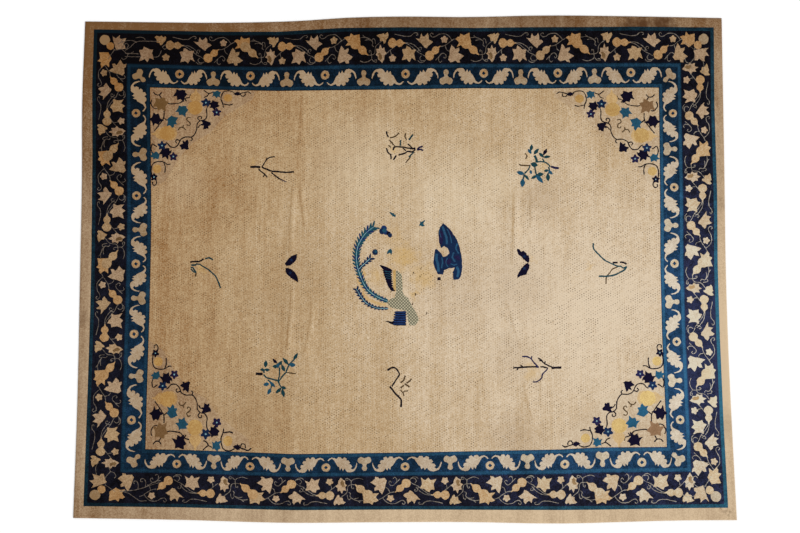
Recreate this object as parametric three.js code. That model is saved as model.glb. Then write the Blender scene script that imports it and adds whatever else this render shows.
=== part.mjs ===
// A room-size Chinese carpet: one hand-knotted rectangle of wool pile on a cotton ground, lying flat.
// Millimetres, +Z up. X runs along the long edges and Y along the short ones, and the origin lies
// on the floor under the middle of the carpet.
import * as THREE from "three";

// Driving dimensions
const width = 3580; // between the straight lines that the short edges follow
const length = 2790; // between the straight lines that the long edges follow
const thickness = 9; // cotton ground and clipped pile together
const coarseStep = 130; // between the lines of points where the carpet lies flat
const fineStep = 26; // between the lines of points where a crease crosses
const creaseMargin = 2 * fineStep; // finely divided on each side of a crease

// The pile rounds off towards the edge: its height as a share of the thickness.
const edgeRounding = [
  { inset: 0, heightShare: 0.5 },
  { inset: 4, heightShare: 0.88 },
  { inset: 12, heightShare: 1 },
];

// An old carpet is never quite square: how far each edge strays outwards from its straight line.
const edgeWander = {
  far: [
    { at: -1790, outwards: -21 },
    { at: -1300, outwards: -27 },
    { at: -1050, outwards: -29 },
    { at: -600, outwards: -19 },
    { at: -300, outwards: 1 },
    { at: 0, outwards: 7 },
    { at: 350, outwards: 4 },
    { at: 800, outwards: 13 },
    { at: 1300, outwards: 8 },
    { at: 1790, outwards: -2 },
  ],
  near: [
    { at: -1790, outwards: -16 },
    { at: -1200, outwards: -6 },
    { at: -650, outwards: 9 },
    { at: -100, outwards: 6 },
    { at: 300, outwards: 5 },
    { at: 850, outwards: 13 },
    { at: 1200, outwards: 4 },
    { at: 1450, outwards: -3 },
    { at: 1790, outwards: -5 },
  ],
  left: [
    { at: -1395, outwards: 2 },
    { at: -800, outwards: -5 },
    { at: 0, outwards: -2 },
    { at: 500, outwards: 1 },
    { at: 900, outwards: 10 },
    { at: 1395, outwards: 5 },
  ],
  right: [
    { at: -1395, outwards: 10 },
    { at: -1000, outwards: -1 },
    { at: -500, outwards: -12 },
    { at: 0, outwards: -15 },
    { at: 500, outwards: -9 },
    { at: 1395, outwards: -2 },
  ],
};

// Soft ridges where the carpet was folded in thirds and then in half for storage.
const creases = [
  { start: [-575, 1395], end: [-618, 120], rise: 2.6, halfWidth: 52 },
  { start: [-600, 520], end: [-645, -560], rise: 2.2, halfWidth: 46 },
  { start: [-515, -190], end: [-600, -1020], rise: 1.8, halfWidth: 44 },
  { start: [592, 640], end: [612, -230], rise: 2.8, halfWidth: 50 },
  { start: [612, -250], end: [690, -1010], rise: 1.8, halfWidth: 46 },
  { start: [-1410, -36], end: [-480, -48], rise: 1.7, halfWidth: 50 },
  { start: [420, -40], end: [1180, -30], rise: 1.4, halfWidth: 50 },
];

// A smooth line through one edge's rows: how far the edge strays at any place along it.
function wanderOf(rows) {
  const places = rows.map((row) => row.at);
  const strays = rows.map((row) => row.outwards);
  const line = new THREE.CubicInterpolant(places, strays, 1);
  return (along) => line.evaluate(along)[0];
}

const strayOf = {
  far: wanderOf(edgeWander.far),
  near: wanderOf(edgeWander.near),
  left: wanderOf(edgeWander.left),
  right: wanderOf(edgeWander.right),
};

// The lines of points across one direction: close at both rims and at the creases, wide elsewhere.
function pointLines(size, axis) {
  const half = size / 2;
  const innerRim = half - edgeRounding.at(-1).inset;
  const creased = creases
    .filter((crease) => Math.abs(crease.start[axis] - crease.end[axis]) < size / 8)
    .map((crease) => ({
      low: Math.min(crease.start[axis], crease.end[axis]) - creaseMargin,
      high: Math.max(crease.start[axis], crease.end[axis]) + creaseMargin,
    }));
  const inside = [-innerRim];
  while (inside.at(-1) < innerRim) {
    const here = inside.at(-1);
    const isFine = creased.some((band) => here + coarseStep > band.low && here < band.high);
    inside.push(here + (isFine ? fineStep : coarseStep));
  }
  const fit = (2 * innerRim) / (inside.at(-1) + innerRim);
  const fitted = inside.slice(1, -1).map((place) => (place + innerRim) * fit - innerRim);
  const lowRim = edgeRounding.map((step) => step.inset - half);
  const highRim = edgeRounding.map((step) => half - step.inset).reverse();
  return [...lowRim, ...fitted, ...highRim];
}

// The pile side's height over the floor, at a place on the straight-edged carpet.
function pileHeight(x, y) {
  const inset = Math.min(width / 2 - Math.abs(x), length / 2 - Math.abs(y));
  let share = 1;
  for (const step of [...edgeRounding].reverse()) {
    if (inset < step.inset + 0.5) {
      share = step.heightShare;
    }
  }
  return share * thickness + share * creaseRise(x, y);
}

// How much the creases lift the pile side: a raised cosine across each one, fading at its two ends.
function creaseRise(x, y) {
  const place = new THREE.Vector2(x, y);
  return creases.reduce((sum, crease) => {
    const start = new THREE.Vector2(...crease.start);
    const run = new THREE.Vector2(...crease.end).sub(start);
    const along = place.clone().sub(start).dot(run) / run.lengthSq();
    const across = Math.abs(place.clone().sub(start).cross(run)) / run.length();
    if (along <= 0 || along >= 1 || across >= crease.halfWidth) {
      return sum;
    }
    const hump = (1 + Math.cos((Math.PI * across) / crease.halfWidth)) / 2;
    return sum + crease.rise * hump * Math.sin(Math.PI * along) ** 0.5;
  }, 0);
}

// The place that a point of the straight-edged carpet has on the real one, whose edges wander.
function wandered(x, y) {
  const rightShare = x / width + 0.5;
  const farShare = y / length + 0.5;
  const sideways = rightShare * strayOf.right(y) - (1 - rightShare) * strayOf.left(y);
  const lengthways = farShare * strayOf.far(x) - (1 - farShare) * strayOf.near(x);
  return [x + sideways, y + lengthways];
}

// A divided box whose points are spread over the lines, then moved to the carpet's own shape.
function carpetGeometry() {
  const columns = pointLines(width, 0);
  const rows = pointLines(length, 1);
  const lastColumn = columns.length - 1;
  const lastRow = rows.length - 1;
  const geometry = new THREE.BoxGeometry(lastColumn, lastRow, 1, lastColumn, lastRow, 1);
  const points = geometry.getAttribute("position");
  for (let i = 0; i < points.count; i++) {
    const x = columns[Math.round(points.getX(i) + lastColumn / 2)];
    const y = rows[Math.round(points.getY(i) + lastRow / 2)];
    const isPileSide = points.getZ(i) > 0;
    points.setXYZ(i, ...wandered(x, y), isPileSide ? pileHeight(x, y) : 0);
  }
  geometry.computeVertexNormals();
  return geometry;
}

const wool = new THREE.MeshStandardMaterial({ color: 0xbfa57c, roughness: 0.95, metalness: 0 });

const carpet = new THREE.Mesh(carpetGeometry(), wool);
carpet.name = "carpet";

const part = new THREE.Group();
part.add(carpet);

export default part;
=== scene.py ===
import math

import bpy
import numpy as np
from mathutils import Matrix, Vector, geometry, noise
from mathutils.bvhtree import BVHTree


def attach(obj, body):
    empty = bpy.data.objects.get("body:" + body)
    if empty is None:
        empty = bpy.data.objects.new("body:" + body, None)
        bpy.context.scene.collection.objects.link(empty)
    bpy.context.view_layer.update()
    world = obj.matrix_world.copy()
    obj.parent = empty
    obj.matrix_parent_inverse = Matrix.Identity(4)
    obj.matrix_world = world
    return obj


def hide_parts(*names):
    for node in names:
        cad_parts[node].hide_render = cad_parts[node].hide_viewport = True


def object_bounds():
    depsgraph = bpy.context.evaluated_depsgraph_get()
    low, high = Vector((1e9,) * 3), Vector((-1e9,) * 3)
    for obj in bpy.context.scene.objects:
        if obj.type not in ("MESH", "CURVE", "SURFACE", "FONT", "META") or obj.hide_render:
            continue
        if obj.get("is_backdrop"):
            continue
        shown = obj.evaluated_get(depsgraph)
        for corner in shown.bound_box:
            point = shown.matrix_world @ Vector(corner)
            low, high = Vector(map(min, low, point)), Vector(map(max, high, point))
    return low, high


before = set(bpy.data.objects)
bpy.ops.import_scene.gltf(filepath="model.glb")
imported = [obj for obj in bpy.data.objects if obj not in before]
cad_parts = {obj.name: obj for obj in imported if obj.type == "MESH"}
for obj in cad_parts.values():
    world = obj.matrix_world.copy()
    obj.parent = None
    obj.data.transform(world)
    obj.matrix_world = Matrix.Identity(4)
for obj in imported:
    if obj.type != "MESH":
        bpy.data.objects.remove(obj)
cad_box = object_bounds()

# How the carpet lies. It is one thick cloth on the floor: its edges waver, the pile rounds off at
# the rim and low creases cross it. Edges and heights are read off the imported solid. The pattern is
# drawn in millimetres on a squared carpet and then moved with the cloth.
MM = 0.001
THICKNESS = 9
CARPET = (1790, 1395)
FIELD = (1414, 1002)
INNER_STRIPE, GROUND, MIDDLE_STRIPE, NAVY, OUTER_STRIPE = 20, 93, 21, 172, 20
BORDERS = INNER_STRIPE + GROUND + MIDDLE_STRIPE + NAVY + OUTER_STRIPE
# Only the outer part of the field is drawn aside with its edge
FIELD_EASE = 8
WALL_FACING = 0.8
# Heights at the rim are read just inside it
INSIDE_RIM = 1 - 0.2 * MM
OUTWARDS = {"far": (1, 1), "near": (1, -1), "left": (0, -1), "right": (0, 1)}

# Place along a side, then how far the field and the outer stripe stray outwards there
WANDER = {
    "far": [
        (-1700, 0, -1), (-1300, -11, -9), (-1050, -22, -14), (-700, -28, -14), (-350, -23, 8), (0, -19, 12),
        (400, -12, 8), (700, -16, 12), (1000, -10, 13), (1300, -9, 15), (1700, -9, 11),
    ],
    "near": [
        (-1700, 3, -12), (-1200, 11, -6), (-600, 34, 9), (0, 26, 5), (500, 16, 7), (850, 9, 8),
        (1050, -2, 6), (1500, -5, -2), (1700, -6, -4),
    ],
    "left": [
        (-1300, -5, -3), (-700, -9, -10), (-250, -14, -14), (100, -15, -12), (300, -13, -9), (600, -5, -5),
        (1000, 7, 6), (1300, 7, 4),
    ],
    "right": [
        (-1300, 14, 13), (-900, 13, 1), (-400, 1, -8), (0, -1, -10), (400, 6, -3), (900, 10, -6),
        (1300, 11, 1),
    ],
}

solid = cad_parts["carpet"].data
pile_side = BVHTree.FromPolygons([v.co for v in solid.vertices], [p.vertices for p in solid.polygons])


def solid_edge(side):
    axis, sign = OUTWARDS[side]
    walls = [p for p in solid.polygons if p.normal[axis] * sign > WALL_FACING]
    rim = {solid.vertices[i].co.to_tuple(6) for p in walls for i in p.vertices}
    rim = sorted((co[1 - axis] / MM, abs(co[axis]) / MM - CARPET[axis]) for co in rim if co[2] < MM)
    return np.array(rim).T


def strays(side, along):
    places, field, stripe = np.array(WANDER[side], float).T
    edge_places, edge = solid_edge(side)
    return (np.interp(along, places, field), np.interp(along, places, stripe),
            np.interp(along, edge_places, edge))


def laid(points):
    points = np.asarray(points, float)
    moved = points.copy()
    for side, (axis, sign) in OUTWARDS.items():
        here = points[:, axis] * sign > 0
        reach = np.abs(points[here, axis])
        field, stripe, edge = strays(side, points[here, 1 - axis])
        to_field = np.clip(reach / FIELD[axis], 0, 1) ** FIELD_EASE
        to_stripe = np.clip((reach - FIELD[axis]) / BORDERS, 0, 1)
        band = CARPET[axis] - FIELD[axis] - BORDERS
        to_edge = np.clip((reach - FIELD[axis] - BORDERS) / band, 0, 1)
        shift = field * to_field + (stripe - field) * to_stripe + (edge - stripe) * to_edge
        moved[here, axis] += sign * shift
    return moved


def pile_height(x, y):
    above = Vector((x * INSIDE_RIM, y * INSIDE_RIM, 1))
    hit = pile_side.ray_cast(above, Vector((0, 0, -1)))[0]
    return hit.z if hit else THICKNESS * MM / 2


# The grounds of the carpet: a plain camel band outside, then a blue stripe, the navy border, a
# second stripe, the indigo border, a third stripe and the camel field. All are knotted in one cloth,
# so each is only an area of one dye, and what is knotted later in this list takes its place.
LINE_GAP = 34
RIM_INSETS = (4, 12)
knotted = []


def resampled(points, gap):
    points = np.asarray(points, float)
    runs = []
    for start, end in zip(points, np.roll(points, -1, axis=0)):
        steps = max(1, round(math.dist(start, end) / gap))
        runs.append(start + (end - start) * np.arange(steps)[:, None] / steps)
    return np.vstack(runs)


def ground(half_width, half_length, dye):
    corners = [(-half_width, -half_length), (half_width, -half_length),
               (half_width, half_length), (-half_width, half_length)]
    knotted.append((np.array(corners, float), resampled(corners, LINE_GAP), dye))


def ground_outside_field(width, dye):
    ground(FIELD[0] + width, FIELD[1] + width, dye)


DARK_LINE = 5
ground(*CARPET, "camel_band")
for inset in RIM_INSETS:
    ground(CARPET[0] - inset, CARPET[1] - inset, "camel_band")
ground_outside_field(BORDERS, "edge_teal")
ground_outside_field(BORDERS - OUTER_STRIPE, "navy")
ground_outside_field(INNER_STRIPE + GROUND + MIDDLE_STRIPE, "indigo")
ground_outside_field(INNER_STRIPE + GROUND + MIDDLE_STRIPE - DARK_LINE, "stripe_blue")
ground_outside_field(INNER_STRIPE + GROUND, "indigo")
ground_outside_field(INNER_STRIPE, "stripe_blue")
ground_outside_field(DARK_LINE, "indigo")
ground(*FIELD, "camel_field")

# The indigo border: pairs of bats with hooked wings face a coin, and a trefoil gourd stands between
# one pair and the next and in each corner. Shapes are drawn on the far side and turned to the others.
OUTLINE_GAP = 9
RAGGED = 1.1
ragged = np.random.default_rng(7)


def knot(outline, dye):
    outline = resampled(outline, OUTLINE_GAP)
    outline = outline + ragged.uniform(-RAGGED, RAGGED, outline.shape)
    knotted.append((outline, outline, dye))


def rounded(points, closed=True):
    points = np.asarray(points, float)
    before, after = np.roll(points, 1, axis=0), np.roll(points, -1, axis=0)
    later = np.roll(points, -2, axis=0)
    if not closed:
        before[0] = points[0]
        after[-1] = points[-1]
        later[-2:] = points[-1]
    runs = []
    for p, a, b, c in zip(before, points, after, later):
        steps = max(2, round(math.dist(a, b) / OUTLINE_GAP))
        t = np.arange(steps)[:, None] / steps
        runs.append(0.5 * (2 * a + (b - p) * t + (2 * p - 5 * a + 4 * b - c) * t**2
                           + (3 * a - p - 3 * b + c) * t**3))
    line = np.vstack(runs)
    return line if closed else np.vstack((line[: -steps], points[-1:]))


def turned(points, degrees, x=0, y=0, size=1.0):
    points = np.asarray(points, float) * size
    cos, sin = math.cos(math.radians(degrees)), math.sin(math.radians(degrees))
    return points @ np.array([[cos, sin], [-sin, cos]]) + (x, y)


def round_outline(radius, corners=20):
    angles = 2 * math.pi * np.arange(corners) / corners
    return radius * np.column_stack((np.cos(angles), np.sin(angles)))


SIDE_TURN = {"far": 0, "right": -90, "near": 180, "left": 90}


def on_side(side, points):
    across = 1 if side in ("far", "near") else 0
    return turned(np.asarray(points, float) + (0, FIELD[across]), SIDE_TURN[side])


# Along the side from the coin, and outwards from the field's side of the indigo ground
BAT = [
    (8, 28), (17, 17), (31, 11), (45, 14), (57, 20), (66, 9), (79, 9), (86, 20), (97, 9), (110, 16),
    (109, 29), (122, 29), (129, 41), (121, 50), (135, 53), (140, 66), (133, 73), (143, 82), (153, 75),
    (160, 60), (165, 42), (168, 50), (165, 68), (156, 85), (144, 94), (128, 97), (115, 95), (106, 86),
    (101, 75), (90, 89), (84, 73), (75, 85), (70, 66), (62, 61), (56, 50), (50, 38), (44, 26), (31, 18),
    (20, 23), (13, 31),
]
BAT_REACH = 207
HALF_TREFOIL = [
    (0, 90), (7, 88), (13, 81), (14, 72), (10, 63), (10, 55), (18, 48), (29, 44), (36, 36), (36, 25),
    (30, 14), (21, 9), (12, 12), (0, 17),
]
COIN_RADIUS, COIN_RING, COIN_HOLE, COIN_OUT = 24, 18, 11, 68
TREFOIL = HALF_TREFOIL + [(-x, y) for x, y in HALF_TREFOIL[-2:0:-1]]

# Coins and the trefoils between them, along each side
COINS = {
    "far": [-1255, -861, -443, 8, 446, 861, 1266], "right": [-850, -430, -5, 426, 852],
    "near": [-1285, -872, -466, -4, 425, 838, 1238], "left": [-851, -384, 3, 383, 850],
}
TREFOILS = {
    "far": [-1068, -658, -226, 235, 653, 1065], "right": [-646, -217, 207, 638],
    "near": [-1076, -669, -250, 216, 632, 1035], "left": [-614, -187, 193, 615],
}
# How far the outermost bat of a side reaches from its coin, at the side's start and end
END_REACH = {"far": (207, 207), "right": (232, 207), "near": (192, 222), "left": (207, 232)}
MOTIF_BASE = INNER_STRIPE - 7
for side, coins in COINS.items():
    ends = [coins[0] - END_REACH[side][0], *TREFOILS[side], coins[-1] + END_REACH[side][1]]
    for coin, before, after in zip(coins, ends, ends[1:]):
        for way, reach in ((-1, coin - before), (1, after - coin)):
            bat = np.array(BAT) * (way * reach / BAT_REACH, 1) + (coin, MOTIF_BASE)
            knot(on_side(side, bat), "cream")
        coin_middle = (coin, MOTIF_BASE + COIN_OUT)
        knot(on_side(side, round_outline(COIN_RADIUS) + coin_middle), "sand")
        knot(on_side(side, round_outline(COIN_RING) + coin_middle), "gold")
        knot(on_side(side, round_outline(COIN_HOLE, 4) + coin_middle), "indigo")
    for trefoil in TREFOILS[side]:
        knot(on_side(side, rounded(np.array(TREFOIL) + (trefoil, MOTIF_BASE))), "sand")
CORNER_TREFOIL = (INNER_STRIPE + 38, INNER_STRIPE + 40)
CORNER_SIZE, CORNER_TURN, TREFOIL_MIDDLE = 0.95, 135, 50
for x_way in (-1, 1):
    for y_way in (-1, 1):
        middle = np.array(FIELD) + CORNER_TREFOIL
        inwards = turned(np.array(TREFOIL) - (0, TREFOIL_MIDDLE), CORNER_TURN, *middle, CORNER_SIZE)
        knot(rounded(inwards * (x_way, y_way)), "sand")

# The navy border: a gourd vine with pointed leaves, small five-petalled flowers and curling tendrils
# runs round the carpet, always the same way, with a bigger gourd at each corner. One repeat is drawn
# and then set along each side, from one large leaf to the next.
REPEAT = 625
VINE_WIDTH = 3
PETAL_POINTS = 6
BORDER_CLEFT = 0.15

# Leaf outlines in millimetres round the leaf's middle, as they stand on the far side
LEAVES = {
    "broad": [
        (-51, 12), (-35, 22), (-22, 20), (-16, 39), (2, 27), (33, 37), (35, 12), (39, -13), (5, -38),
        (-17, -25), (-45, -30), (-31, -10), (-36, 0),
    ],
    "long": [
        (-13, 52), (1, 36), (5, 26), (29, 34), (29, 20), (19, 7), (51, -13), (35, -26), (25, -32),
        (27, -46), (11, -44), (3, -34), (-25, -40), (-38, -26), (-29, 0), (-25, 20),
    ],
    "small": [
        (-34, 13), (-21, 19), (-5, 20), (5, 24), (11, 15), (26, 24), (31, 15), (27, -2), (17, -15),
        (9, -30), (1, -32), (-3, -19), (-19, -16), (-21, 1),
    ],
    "tall": [
        (0, 47), (9, 26), (22, 31), (21, 12), (31, 0), (19, -12), (14, -31), (2, -48), (-10, -33),
        (-21, -28), (-19, -12), (-31, -2), (-21, 10), (-24, 27), (-8, 26),
    ],
    "six": [
        (-12, 46), (6, 37), (20, 25), (45, 26), (35, 3), (38, -18), (45, -39), (20, -24), (4, -48),
        (-12, -31), (-43, -39), (-30, -10), (-40, 25), (-18, 28),
    ],
    "horned": [
        (-53, 14), (-36, 11), (-26, 13), (-18, 42), (-10, 29), (0, 25), (12, 35), (20, 46), (28, 31),
        (30, 9), (42, 8), (55, -4), (42, -16), (28, -26), (20, -41), (6, -36), (-12, -20), (-32, -4),
    ],
}
LEAF_VARIETY = 0.06
LEAF_SWING = 7


def leaf(x, y, shape, dye, size=1, turn=0):
    outline = np.array(LEAVES[shape])
    grown = outline * ragged.uniform(1 - LEAF_VARIETY, 1 + LEAF_VARIETY, (len(outline), 1))
    return turned(grown, turn + ragged.uniform(-LEAF_SWING, LEAF_SWING), x, y, size), dye


def flower(x, y, size, dye, petals=5, cleft=0.26, turn=18):
    corners = petals * PETAL_POINTS
    angles = 2 * math.pi * np.arange(corners) / corners
    radius = size * (1 - cleft + cleft * np.cos(petals * angles))
    outline = np.column_stack((radius * np.cos(angles), radius * np.sin(angles)))
    return turned(outline, turn, x, y), dye


# Shares of the length and of the half width
GOURD = [
    (0, 0.1), (0.04, 0.5), (0.11, 0.82), (0.24, 1), (0.36, 0.83), (0.44, 0.5), (0.5, 0.48), (0.56, 0.66),
    (0.66, 0.77), (0.76, 0.66), (0.83, 0.4), (0.89, 0.18), (1, 0.06),
]
BLADE = [(0, 0.12), (0.15, 0.55), (0.4, 1), (0.65, 0.85), (0.85, 0.45), (1, 0.05)]


def spindle(base, tip, width, dye, profile=BLADE):
    base, tip = np.asarray(base, float), np.asarray(tip, float)
    run = tip - base
    beside = np.array((-run[1], run[0])) / np.hypot(*run) * width / 2
    one_side = [base + run * share + beside * half for share, half in profile]
    other_side = [base + run * share - beside * half for share, half in profile[::-1]]
    return rounded(one_side + other_side), dye


def stem(points, width, dye):
    line = rounded(points, closed=False)
    along = np.gradient(line, axis=0)
    along /= np.maximum(np.hypot(*along.T), 1e-6)[:, None]
    beside = np.column_stack((-along[:, 1], along[:, 0])) * width / 2
    return np.vstack((line + beside, (line - beside)[::-1])), dye


# Along the repeat from the large leaf, outwards from the border's middle line, outline, dye
REPEAT_LEAVES = [
    (2, 40, "broad", "gold"), (-52, -34, "long", "sand"), (170, 55, "small", "cream"),
    (158, -30, "tall", "sand"), (314, -32, "six", "cream", 0.92), (400, 36, "horned", "sand", 0.9),
]
REPEAT_HEART = [(-20, 2), (-6, 6), (4, -6), (6, -24), (-4, -34), (-15, -22), (-13, -10)]
REPEAT_FLOWERS = [(223, -54, 21, "sand"), (516, 44, 21, "sand")]
REPEAT_GOURDS = [((-9, 42), (85, -38), 57), ((198, 26), (297, 24), 52), ((413, -58), (492, 10), 52)]
REPEAT_VINES = [
    [(82, -36), (105, -36), (122, -28), (128, 7), (148, 27), (168, 42)],
    [(40, -66), (64, -74), (90, -68), (104, -56), (104, -32), (101, -15), (91, -13), (93, -22)],
    [(104, -56), (118, -70), (134, -73), (133, -62), (121, -64)],
    [(56, 67), (75, 54), (95, 47), (112, 31), (108, 15), (118, 7)], [(66, 40), (89, 44), (110, 36)],
    [(126, 22), (123, 44), (113, 50), (109, 42)], [(36, 54), (66, 57), (94, 48)],
    [(186, -33), (210, -12), (233, 6), (256, 18)], [(222, -46), (214, -28), (212, -12)],
    [(286, 25), (314, 17), (345, -6), (370, -26), (392, -36), (410, -48)],
    [(288, 28), (328, 22), (358, 4), (380, -20)],
    [(235, 72), (262, 66), (292, 60), (325, 62), (342, 76), (360, 78), (366, 69), (357, 66)],
    [(402, -68), (384, -69), (377, -54), (386, -42)], [(366, -22), (374, 2), (387, 0), (383, -9)],
    [(412, -62), (396, -76), (376, -76), (366, -66)],
    [(484, 6), (513, 10), (537, 24), (559, 40), (580, 50)],
    [(466, -66), (485, -46), (503, -30), (517, -32), (526, -46), (518, -56), (511, -48)],
    [(485, -46), (482, -64), (492, -77), (502, -70)],
    [(559, 40), (545, 58), (521, 74), (486, 72), (466, 60), (447, 56), (436, 70), (445, 79), (453, 71)],
    [(521, 12), (528, -10), (541, -18)],
]
VINE_MIDDLE = INNER_STRIPE + GROUND + MIDDLE_STRIPE + NAVY / 2 - 2
CORNER_START = 130

# Where the large leaf of each repeat stands along its side, from corner to corner
LARGE_LEAVES = {
    "far": [-1535, -904, -287, 335, 955, 1590], "right": [-1265, -645, -24, 590, 1160],
    "near": [-1693, -1073, -445, 184, 803, 1564], "left": [-1240, -621, -6, 596, 1156],
}
# Where the last repeat of a side ends, behind the corner's leaf or short of it
LAST_ENDS = {"far": 1618, "right": 1186, "near": 1494, "left": 1181}
# Wool is dyed in small lots, so one leaf or gourd differs from the next
LOTS = {"gold": ("gold", "gold", "wheat"), "sand": ("straw", "rose", "straw"), "cream": ("straw", "wheat")}


def repeat_shapes():
    for points in REPEAT_VINES:
        yield points[0][0], stem(points, VINE_WIDTH, "vine")
    for row in REPEAT_LEAVES:
        yield row[0], leaf(*row)
    x, y = next(row[:2] for row in REPEAT_LEAVES if row[2] == "tall")
    yield x, (turned(REPEAT_HEART, 0, x, y), "umber")
    for row in REPEAT_FLOWERS:
        yield row[0], flower(*row, cleft=BORDER_CLEFT)
    for base, tip, width in REPEAT_GOURDS:
        yield base[0], spindle(base, tip, width, "gold", GOURD)


def set_on_vine(side, start, stretch, shape):
    outline, dye = shape
    middle = outline.mean(axis=0)
    along = start + middle[0] * stretch
    moved = outline - (middle[0], 0) + (along, VINE_MIDDLE)
    knot(on_side(side, moved), ragged.choice(LOTS.get(dye, (dye,))))


# The far side's first repeat is drawn out, so its low leaf, flower and stems stand further back
DRAWN_OUT = range(CORNER_START, 228)
FAR_START_LEAF = (-1440, -28, "six", "sand", 0.95)
FAR_START_FLOWER = (-1332, -44, 22, "sand")
FAR_START_VINES = [
    [(-1560, -44), (-1500, -45), (-1440, -43), (-1384, -44), (-1366, -30), (-1358, -6)],
    [(-1560, -27), (-1530, -27), (-1484, -28)],
    [(-1560, -10), (-1528, 12), (-1508, 34), (-1478, 45), (-1420, 46), (-1372, 45)],
    [(-1502, 62), (-1480, 68), (-1458, 64), (-1446, 52)],
    [(-1553, 0), (-1541, 18), (-1552, 31), (-1572, 20)],
    [(-1336, 28), (-1352, 14), (-1340, 2), (-1326, 10)],
]

# The near side's last repeat leaves a gap before the corner, crossed by stems
NEAR_END_VINES = [
    [(1330, -30), (1366, -20), (1408, -4), (1450, 10), (1500, 18), (1550, 20)],
    [(1326, -42), (1360, -34), (1408, -4)],
    [(1410, -2), (1407, -30), (1418, -50), (1434, -50), (1436, -36), (1424, -34)],
    [(1450, 10), (1448, -18), (1460, -38), (1474, -32), (1468, -20)],
    [(1546, 22), (1504, 30), (1472, 50), (1436, 74), (1400, 72)],
]

for side, stands in LARGE_LEAVES.items():
    ends = [*stands[1:-1], LAST_ENDS[side]]
    for start, end in zip(stands, ends):
        for place, shape in repeat_shapes():
            first = start == stands[0]
            moved_back = side == "far" and place in DRAWN_OUT and shape[0].mean(axis=0)[1] < 0
            if first and (place < CORNER_START or moved_back):
                continue
            set_on_vine(side, start, (end - start) / REPEAT, shape)
    corner_leaves = REPEAT_LEAVES[:2]
    for row in corner_leaves:
        set_on_vine(side, stands[-1], 1, leaf(*row))

for points in FAR_START_VINES:
    set_on_vine("far", 0, 1, stem(points, VINE_WIDTH, "vine"))
for points in NEAR_END_VINES:
    set_on_vine("near", 0, 1, stem(points, VINE_WIDTH, "vine"))
set_on_vine("far", 0, 1, leaf(*FAR_START_LEAF))
set_on_vine("far", 0, 1, flower(*FAR_START_FLOWER, cleft=BORDER_CLEFT))

# Back along the side and inwards from the navy border's outer corner
CORNER_VINES = [
    [(72, 70), (96, 104), (92, 140), (118, 176), (104, 208)], [(92, 140), (64, 150), (40, 138), (34, 150)],
    [(118, 176), (140, 170), (150, 150), (140, 140)], [(150, 64), (118, 84), (96, 100)],
    [(60, 118), (44, 160), (40, 200), (52, 226)],
]
CORNER_BULBS = [(40, 44, 29, "sand"), (74, 76, 22, "gold")]
START_LEAF = (120, 34, "horned", "sand", 1, -35)
for side in LARGE_LEAVES:
    along = FIELD[0] if side in ("far", "near") else FIELD[1]
    outer = INNER_STRIPE + GROUND + MIDDLE_STRIPE + NAVY
    corner = np.array((along + outer, outer))
    for points in CORNER_VINES:
        outline, dye = stem(corner - points, VINE_WIDTH, "vine")
        knot(on_side(side, outline), dye)
    for back, inwards, size, dye in CORNER_BULBS:
        knot(on_side(side, round_outline(size) + corner - (back, inwards)), dye)
    set_on_vine(side, -corner[0], 1, leaf(*START_LEAF))

# The corner sprays: gourd vines again, now navy, blue, gold and brown on camel, with no dots there.
# One spray is drawn for the far right corner of the field and mirrored to the other three.
SPRAY_PLAIN = [
    (1410, 420), (1330, 470), (1250, 600), (1180, 680), (1080, 740), (1000, 840), (850, 940), (830, 998),
    (1410, 998),
]
SPRAY_LEAVES = [
    (1242, 954, "six", "ink", 0.84, 20), (1232, 860, "six", "leaf_blue", 0.74, 30),
    (1380, 808, "six", "ink", 0.8, -30), (1290, 796, "broad", "leaf_blue", 0.8, 100),
    (1042, 966, "six", "leaf_blue", 0.58, 10), (1056, 896, "six", "ink", 0.66, 40),
    (1104, 780, "long", "ink", 0.64, -60), (1216, 660, "long", "ink", 0.66, 10),
    (1326, 616, "six", "ink", 0.74, 20), (1384, 600, "broad", "leaf_blue", 0.6, 190),
    (928, 970, "tall", "ink", 0.5, 90), (1350, 897, "six", "brown_leaf", 0.92, 15),
]
SPRAY_FLOWERS = [
    (1102, 909, 29, "rock_blue"), (1042, 850, 27, "violet"), (1346, 656, 27, "rock_blue"),
    (1282, 594, 26, "violet"), (1392, 478, 23, "ink"),
]
SPRAY_GOURDS = [((1162, 836), (1158, 992), 84), ((1262, 728), (1404, 722), 84)]
SPRAY_BULBS = [(1163, 876, 41), (1318, 727, 42), (980, 941, 25), (1374, 524, 25)]
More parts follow.
